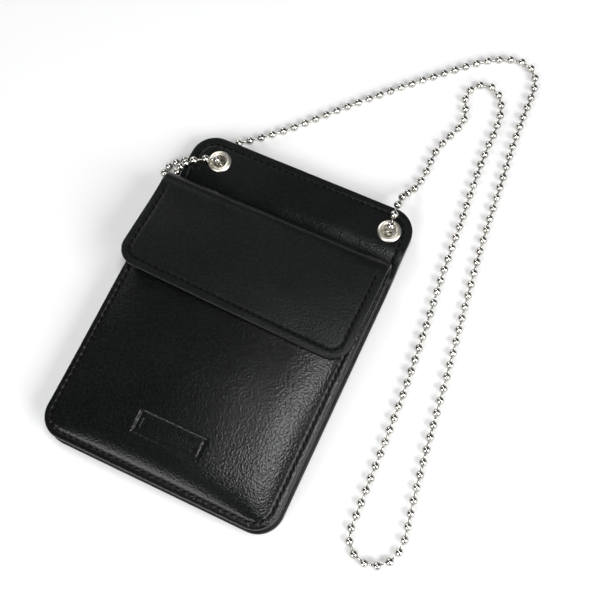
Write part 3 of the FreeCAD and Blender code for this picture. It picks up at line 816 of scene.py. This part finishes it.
def pocket_crown(across, up):
    """How far the front leaf stands above its seam: steep shoulders and a low dome."""
    reach = POCKET_WIDTH / 2 - POCKET_SEAM_INSET
    off_middle = across - POCKET_SHIFT
    crown = POCKET_CROWN
    for distance in (reach - off_middle, reach + off_middle, up - POCKET_BOTTOM - POCKET_SEAM_INSET):
        crown = crown * (1 - np.exp(-np.clip(distance, 0, None) / POCKET_SHOULDER))
    dome = POCKET_DOME * np.clip(1 - (off_middle / reach) ** 2, 0, 1) * smoothstep(-up / (28.0 * MM))
    return crown * (1 + dome / POCKET_CROWN)


def pocket_surface_height(across, up):
    """Level of the front leaf's face, before its seam, plaque and rounded edge."""
    uneven = ripple(across, up, 11, 26 * MM, 0.09 * MM)
    crown = pocket_crown(across, up)
    return POCKET_SKIN - pocket_sink(up) + crown + uneven * np.clip(crown / POCKET_CROWN, 0, 1)


def pocket_droop(inset):
    """How far the leaf's free edge hangs down outside its seam."""
    return POCKET_DROOP * np.clip(1 - inset / POCKET_SEAM_INSET, 0, 1)


def plaque_dip(across, up):
    """Plain recessed plaque with one raised line inside its edge."""
    place_across = across - PLAQUE_CENTRE[0]
    place_up = up - PLAQUE_CENTRE[1]
    outside = np.maximum(np.abs(place_across) - PLAQUE_SIZE[0] / 2,
                         np.abs(place_up) - PLAQUE_SIZE[1] / 2)
    raised = np.exp(-((outside + PLAQUE_LINE_INSET) / PLAQUE_LINE_HALF) ** 2)
    return PLAQUE_DEPTH * smoothstep(-outside / PLAQUE_BEVEL) - PLAQUE_LINE_HEIGHT * raised


def pocket_seam():
    line = seam_line(POCKET_WIDTH / 2 - POCKET_SEAM_INSET, POCKET_BOTTOM + POCKET_SEAM_INSET,
                     POCKET_MOUTH - 0.8 * MM, POCKET_CORNER - POCKET_SEAM_INSET)
    middles, directions, holes = spaced_stitches(line)
    shift = np.array([POCKET_SHIFT, 0.0])
    return middles + shift, directions, holes + shift


POCKET_STITCHES = pocket_seam()


def make_pocket():
    height = POCKET_MOUTH - POCKET_BOTTOM
    across, up, inset = ring_grid(POCKET_WIDTH, height, POCKET_CORNER, 1.0 * MM, 0.45 * MM)
    up = up + (POCKET_MOUTH + POCKET_BOTTOM) / 2
    to_side = POCKET_WIDTH / 2 - np.abs(across)
    from_mouth = POCKET_MOUTH - up
    on_mouth = from_mouth < np.minimum(to_side, inset + 0.01 * MM)
    seam_distance = np.where(on_mouth & (to_side > 4 * MM), 1.0, np.abs(inset - POCKET_SEAM_INSET))
    across = across + POCKET_SHIFT
    dip = seam_dip(across, up, seam_distance, POCKET_STITCHES[2], 0.22 * MM, 0.26 * MM)
    rounding = edge_round(inset, 0.45 * MM)
    skin = pocket_surface_height(across, up) - pocket_droop(inset)
    top = skin - dip - rounding - plaque_dip(across, up)
    bottom = skin - LEATHER + rounding * 0.8
    # Painted shade in the seam's groove.
    piece = plate("pocket_cover", np.stack([across, up, top], -1),
                  np.stack([across, up, bottom], -1), inset, [POCKET_LEATHER, EDGE_PAINT],
                  upper_groove_shade=painted_groove_shade(seam_distance))
    settle(piece, "pouch", "black_leather", "pocket_front")

    def surface(x, y):
        level = float(pocket_surface_height(np.array(x), np.array(y)))
        return np.array([x, y, level - 0.24 * MM]), np.array([0.0, 0.0, 1.0])

    sew("pocket_stitches", POCKET_STITCHES, surface, "pouch", "pocket_thread")


def make_pocket_lining():
    margin = 0.5 * MM
    height = POCKET_MOUTH - POCKET_BOTTOM - 2 * margin
    across, up, inset = ring_grid(POCKET_WIDTH - 2 * margin, height, POCKET_CORNER - margin,
                                  1.0 * MM, 2.5 * MM)
    up = up + (POCKET_MOUTH + POCKET_BOTTOM) / 2
    across = across + POCKET_SHIFT
    skin = pocket_surface_height(across, up) - LEATHER - pocket_droop(inset)
    rounding = edge_round(inset, 0.2 * MM)
    piece = plate("pocket_lining_sheet", np.stack([across, up, skin - LINING_GAP], -1),
                  np.stack([across, up, skin - 0.55 * MM + rounding], -1), inset,
                  [LINING_CLOTH, LINING_CLOTH])
    settle(piece, "pouch", "black_lining", "pocket_lining")


GUSSET_STEPS = 34
GUSSET_THICK = 0.8 * MM
FLANGE_OUT = 0.5 * MM


def gusset_section():
    """Middle line of the pinched strip as (inwards, level), from the panel up."""
    low = GUSSET_LOW[2] + GUSSET_THICK / 2
    high = GUSSET_HIGH[2] - GUSSET_THICK / 2
    middle = (low + high) / 2
    line = cut_corners([(-FLANGE_OUT, low), (1.8 * MM, low), (4.4 * MM, low + 0.5 * MM),
                        (6.6 * MM, middle - 1.4 * MM), (7.1 * MM, middle),
                        (6.6 * MM, middle + 1.4 * MM), (4.4 * MM, high - 0.5 * MM),
                        (1.8 * MM, high), (0.3 * MM, high)], closed=False)
    lengths = travel(line)
    return along_line(np.linspace(0, lengths[-1], GUSSET_STEPS), lengths, line)


def gusset_crinkle(line, travelled):
    """Small uneven folds along the strip, gathered where it turns the two low corners."""
    half, low = GUSSET_HIGH[0], GUSSET_LOW[1]
    from_corner = np.abs(np.abs(line[:, 0]) - half + POCKET_CORNER)
    bend = np.exp(-(from_corner / (7 * MM)) ** 2) * (line[:, 1] < low + 2 * POCKET_CORNER)
    fine = np.sin(travelled / (0.55 * MM) + 1.7 * np.sin(travelled / (4 * MM)))
    slow = np.sin(travelled / (3.1 * MM)) * np.sin(travelled / (7.3 * MM))
    return (0.06 * MM + 0.22 * MM * bend) * fine + 0.10 * MM * slow


def make_gusset():
    """Folded side strip swept round the pocket; its sewn flange shows beside the leaf."""
    stride = 5
    line = seam_line(GUSSET_HIGH[0], GUSSET_LOW[1], POCKET_MOUTH - 0.3 * MM, POCKET_CORNER)[::stride]
    tangents = np.gradient(line, axis=0)
    tangents /= np.linalg.norm(tangents, axis=1)[:, None]
    inward = np.stack([tangents[:, 1], -tangents[:, 0]], -1)
    section = gusset_section()
    slope = np.gradient(section, axis=0)
    slope /= np.linalg.norm(slope, axis=1)[:, None]
    square = np.stack([-slope[:, 1], slope[:, 0]], -1)
    travelled = np.arange(len(line)) * SEAM_STEP * stride
    crinkle = gusset_crinkle(line, travelled)
    free = np.clip((section[:, 0] - 1.8 * MM) / (3 * MM), 0, 1)
    share = (section[:, 1] - GUSSET_LOW[2]) / (GUSSET_HIGH[2] - GUSSET_LOW[2])
    flange = smoothstep((0.25 - share) / 0.1) * smoothstep((2.2 * MM - section[:, 0]) / MM)
    wander = np.sin(travelled / (9 * MM))
    pulled = 0.16 * MM * np.cos(travelled * (2 * math.pi / STITCH_PITCH) + wander)
    surfaces = []
    for offset in (GUSSET_THICK / 2, -GUSSET_THICK / 2):
        shape = section + square * offset
        seen_flange = flange * (offset < 0)
        depth = shape[None, :, 0] + crinkle[:, None] * free[None, :]
        level = shape[None, :, 1] + crinkle[:, None] * (0.4 * free + 0.8 * seen_flange)[None, :]
        level = level - pocket_sink(line[:, 1])[:, None] * share[None, :]
        level = level + pulled[:, None] * seen_flange[None, :]
        plan = line[:, None, :] + inward[:, None, :] * depth[..., None]
        surfaces.append(np.concatenate([plan, level[..., None]], -1))
    inset = np.full(surfaces[0].shape[:2], 1.0)
    inset[:, 0] = inset[:, -1] = inset[0] = inset[-1] = 0.0
    piece = plate("side_gusset", *surfaces, inset, [GUSSET_LEATHER, EDGE_PAINT], 0.0)
    settle(piece, "pouch", "black_leather", "pocket_gusset")


def magnet_disc(name, node, body, leaf_level, below):
    """Steel disc glued under a leaf, in its plane, at a depth below the level it is given."""
    low, high = node_box(node)
    radius = (high[0] - low[0]) / 2
    middle = (low[1] + high[1]) / 2

    def level(across, up):
        return float(leaf_level(np.array(across), np.array(up)))

    tilt_across = (level(radius, middle) - level(-radius, middle)) / (2 * radius)
    tilt_up = (level(0.0, middle + radius) - level(0.0, middle - radius)) / (2 * radius)
    thick = high[2] - low[2]
    bevel = 0.12 * MM
    ring = [(0.0, -thick / 2), (radius - bevel, -thick / 2), (radius, -thick / 2 + bevel),
            (radius, thick / 2 - bevel), (radius - bevel, thick / 2), (0.0, thick / 2)]
    points, faces = lathe(ring, 48)
    points[:, 2] += points[:, 0] * tilt_across + points[:, 1] * tilt_up
    centre = np.array([0.0, middle, level(0.0, middle) - below])
    piece = add_mesh(name, points + centre, faces, [MAGNET_ZINC])
    settle(piece, body, "magnet_steel", node)


make_pocket()
make_pocket_lining()
make_gusset()


# ---- flap

FLAP_SHIFT = -1.9 * MM
FLAP_WIDTH = FLAP_HIGH[0] - FLAP_LOW[0]
FLAP_CORNER = 8.0 * MM
FLAP_EDGE = FLAP_LOW[1]
FOLD_RADIUS = (FLAP_HIGH[2] - ROOT_LOW[2]) / 2 - HALF_LEATHER
FOLD_CENTRE_UP = ROOT_HIGH[1] - FOLD_RADIUS - HALF_LEATHER
FOLD_CENTRE_LEVEL = ROOT_LOW[2] + HALF_LEATHER + FOLD_RADIUS
LEAF_LENGTH = FOLD_CENTRE_UP - FLAP_EDGE
FOLD_LENGTH = math.pi * FOLD_RADIUS
TONGUE_LENGTH = FOLD_CENTRE_UP - ROOT_LOW[1]
TONGUE_WIDTH = 75.0 * MM
FLAP_LENGTH = LEAF_LENGTH + FOLD_LENGTH + TONGUE_LENGTH
LEFT_LIFT = 4.2 * MM
RIGHT_DROP = 1.0 * MM
FLAP_BOW = 0.5 * MM
FLAP_LEAN = 0.5 * MM
FLAP_SKEW = 0.9 * MM
FLAP_GROOVE = 0.16 * MM
MAGNET_ROOM = 8.9 * MM


def flap_lift(across, up):
    """How far the top leaf rises above level: the low left corner lifts, the right sinks."""
    down = np.clip((FOLD_CENTRE_UP - up) / LEAF_LENGTH, 0, 1.05)
    side = np.clip(0.5 - across / FLAP_WIDTH, 0, 1)
    bow = FLAP_BOW * np.sin(math.pi * np.clip(down, 0, 1)) ** 2 * (0.4 + 0.6 * side)
    uneven = ripple(across, up, 5, 24 * MM, 0.16 * MM) * smoothstep(down * 2)
    lift = LEFT_LIFT * side ** 1.7 * down ** 1.8
    drop = RIGHT_DROP * (1 - side) ** 1.5 * down ** 1.5
    return lift - drop + bow + uneven


def flap_underside(across, up):
    """Level of the flap leather's lower face."""
    return FLAP_LOW[2] + flap_lift(across - FLAP_SHIFT, up)


def flap_points(across, along, offset):
    """Point of the flap's leather: along runs from its low edge, over the fold, to the tongue."""
    across, along, offset = np.broadcast_arrays(np.asarray(across, float), along, offset)
    beyond = np.clip(along - LEAF_LENGTH, 0, FOLD_LENGTH)
    angle = math.pi / 2 - beyond / FOLD_RADIUS
    tongue = np.clip(along - LEAF_LENGTH - FOLD_LENGTH, 0, None)
    leaf = np.clip(LEAF_LENGTH - along, 0, None)
    radius = FOLD_RADIUS + offset
    up = FOLD_CENTRE_UP + radius * np.cos(angle) - leaf - tongue
    level = FOLD_CENTRE_LEVEL + radius * np.sin(angle)
    level = level + flap_lift(across, up) * (leaf > 0)
    narrowing = smoothstep((tongue - 0.2 * MM) / (1.6 * MM))
    across = across * (1 - narrowing * (1 - TONGUE_WIDTH / FLAP_WIDTH))
    skew = FLAP_SKEW * (across / (FLAP_WIDTH / 2)) * smoothstep(leaf / LEAF_LENGTH)
    out_of_pocket = 1 - smoothstep(tongue / (2.0 * MM))
    lean = FLAP_LEAN * smoothstep(leaf / LEAF_LENGTH)
    return np.stack([across + FLAP_SHIFT * out_of_pocket - lean, up - skew, level], -1)


FLAP_STITCHES = spaced_stitches(seam_line(
    FLAP_WIDTH / 2 - SEAM_INSET, SEAM_INSET, LEAF_LENGTH - 1.6 * MM, FLAP_CORNER - SEAM_INSET))


def make_flap():
    across, along, inset = ring_grid(FLAP_WIDTH, FLAP_LENGTH, FLAP_CORNER, 1.0 * MM, 0.6 * MM)
    along = along + FLAP_LENGTH / 2
    seam_distance = np.where(along < LEAF_LENGTH, np.abs(inset - SEAM_INSET), 1.0)
    dip = seam_dip(across, along, seam_distance, FLAP_STITCHES[2], FLAP_GROOVE, 0.2 * MM)
    rounding = edge_round(inset, 0.5 * MM)
    upper = flap_points(across, along, HALF_LEATHER - rounding - dip)
    lower = flap_points(across, along, -HALF_LEATHER + rounding * 0.8)
    # Painted shade in the seam's groove.
    piece = plate("flap_cover", upper, lower, inset, [FLAP_LEATHER, EDGE_PAINT],
                  upper_groove_shade=painted_groove_shade(seam_distance))
    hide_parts("flap_leather", "flap_root")
    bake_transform(piece)

    def surface(x, y):
        near, floor = 0.1 * MM, HALF_LEATHER - FLAP_GROOVE
        point = flap_points(x, y, floor)
        normal = np.cross(flap_points(x + near, y, floor) - point,
                          flap_points(x, y + near, floor) - point)
        return point, normal / np.linalg.norm(normal)

    sew("flap_stitches", FLAP_STITCHES, surface, "flap", "flap_thread")


def make_flap_lining():
    margin = 0.6 * MM
    low, high = margin, LEAF_LENGTH - (FOLD_CENTRE_UP - node_box("flap_lining")[1][1])
    across, along, inset = ring_grid(FLAP_WIDTH - 2 * margin, high - low, FLAP_CORNER - margin,
                                     1.0 * MM, 2.0 * MM)
    along = along + (low + high) / 2
    rounding = edge_round(inset, 0.25 * MM)
    magnet_low, magnet_high = node_box("flap_magnet")
    magnet_up = (magnet_low[1] + magnet_high[1]) / 2
    away = np.hypot(across + FLAP_SHIFT, along + FLAP_EDGE - magnet_up)
    raised = 0.35 * MM * smoothstep((MAGNET_ROOM - away) / (1.2 * MM))
    upper = flap_points(across, along, -HALF_LEATHER - LINING_GAP)
    lower = flap_points(across, along, -HALF_LEATHER - 0.6 * MM + rounding - raised)
    piece = plate("flap_lining_sheet", upper, lower, inset, [LINING_CLOTH, LINING_CLOTH])
    settle(piece, "flap", "black_lining", "flap_lining")


make_flap()
make_flap_lining()
magnet_disc("pocket_magnet_disc", "pocket_magnet", "pouch", pocket_surface_height,
            LEATHER + 0.28 * MM)
magnet_disc("flap_magnet_disc", "flap_magnet", "flap", flap_underside, 0.38 * MM)


# ---- eyelets

def make_eyelet(side_name):
    """Eyelet with a rolled flange in front, turned out behind over its washer."""
    low, high = node_box(f"eyelet_{side_name}")
    centre = eyelet_middle(side_name)
    bore, flange = EYELET_BORE, (high[0] - low[0]) / 2
    seat, top, foot = high[2] - 0.9 * MM, high[2], low[2]
    ring = cut_corners([
        (bore, foot), (bore + 0.6 * MM, foot - 0.02 * MM), (bore + 1.15 * MM, foot + 0.05 * MM),
        (bore + 1.1 * MM, foot + 0.25 * MM), (bore + 0.4 * MM, foot + 0.3 * MM),
        (bore + 0.4 * MM, seat - 0.1 * MM), (flange - 0.1 * MM, seat), (flange, seat + 0.12 * MM),
        (flange - 0.12 * MM, seat + 0.55 * MM), (flange - 0.8 * MM, top),
        (bore + 0.75 * MM, top), (bore + 0.12 * MM, top - 0.22 * MM), (bore, top - 0.6 * MM),
        (bore, seat - 1.0 * MM),
    ])
    points, faces = lathe(ring, 72)
    piece = add_mesh(f"eyelet_ring_{side_name}", points + centre, faces, [NICKEL])
    settle(piece, "pouch", "nickel", f"eyelet_{side_name}")
    low, high = node_box(f"eyelet_washer_{side_name}")
    outer, inner = (high[0] - low[0]) / 2, WASHER_HOLE
    edge = 0.1 * MM
    ring = cut_corners([(inner, low[2]), (outer - edge, low[2]), (outer, low[2] + edge),
                        (outer, high[2] - edge), (outer - edge, high[2]), (inner, high[2])], 1)
    points, faces = lathe(ring, 72)
    piece = add_mesh(f"washer_{side_name}", points + centre, faces, [NICKEL])
    settle(piece, "pouch", "nickel", f"eyelet_washer_{side_name}")


for side_name in ("left", "right"):
    make_eyelet(side_name)


# ---- floor and light

def make_floor():
    reach = 3.0
    level = -0.05 * MM
    floor = add_mesh("floor", [(-reach, -reach, level), (reach, -reach, level),
                               (reach, reach, level), (-reach, reach, level)], [(0, 1, 2, 3)], [])
    made = Nodes("floor_look")
    tint = made.noise(0.4, detail=2.0)
    made.join(made.ramp(tint, [(0.3, (0.86, 0.86, 0.86)), (0.7, (0.88, 0.88, 0.88))]),
              made.shader.inputs["Base Color"])
    made.set(Roughness=0.9, Specular_IOR_Level=0.1)
    floor.data.materials.append(made.material)


def add_light(name, place, aim, width, length, power):
    """Rectangular soft light; its length runs along the way that it tilts."""
    data = bpy.data.lights.new(name, "AREA")
    data.shape = "RECTANGLE"
    data.size = width
    data.size_y = length
    data.energy = power
    light = bpy.data.objects.new(name, data)
    light.location = place
    light.rotation_mode = "QUATERNION"
    light.rotation_quaternion = (Vector(aim) - Vector(place)).to_track_quat("-Z", "Y")
    bpy.context.scene.collection.objects.link(light)


LAMP_SIDE = 0.8
MIDDLE = (0.0, 0.0, 0.0)


def make_lights():
    """A narrow strip overhead for the sheen on the pocket, and three broad soft lamps."""
    world = bpy.data.worlds.new("studio")
    world.use_nodes = True
    background = world.node_tree.nodes["Background"]
    background.inputs["Color"].default_value = (0.93, 0.95, 1.0, 1.0)
    background.inputs["Strength"].default_value = 0.08
    bpy.context.scene.world = world
    add_light("key", (0.080, 0.020, 0.50), (0.080, -0.05, 0.0), 0.075, 0.15, 0.75)
    add_light("back", (-0.9, 0.8, 0.75), MIDDLE, LAMP_SIDE, LAMP_SIDE, 6.0)
    add_light("right", (1.0, -0.2, 0.65), MIDDLE, LAMP_SIDE, LAMP_SIDE, 15.0)
    add_light("front", (-0.2, -1.0, 0.65), MIDDLE, LAMP_SIDE, LAMP_SIDE, 10.0)
    view = bpy.context.scene.view_settings
    view.view_transform = "Standard"
    view.look = "None"
    view.exposure = 0.0


make_floor()
make_lights()


# ---- final update

bpy.context.view_layer.update()
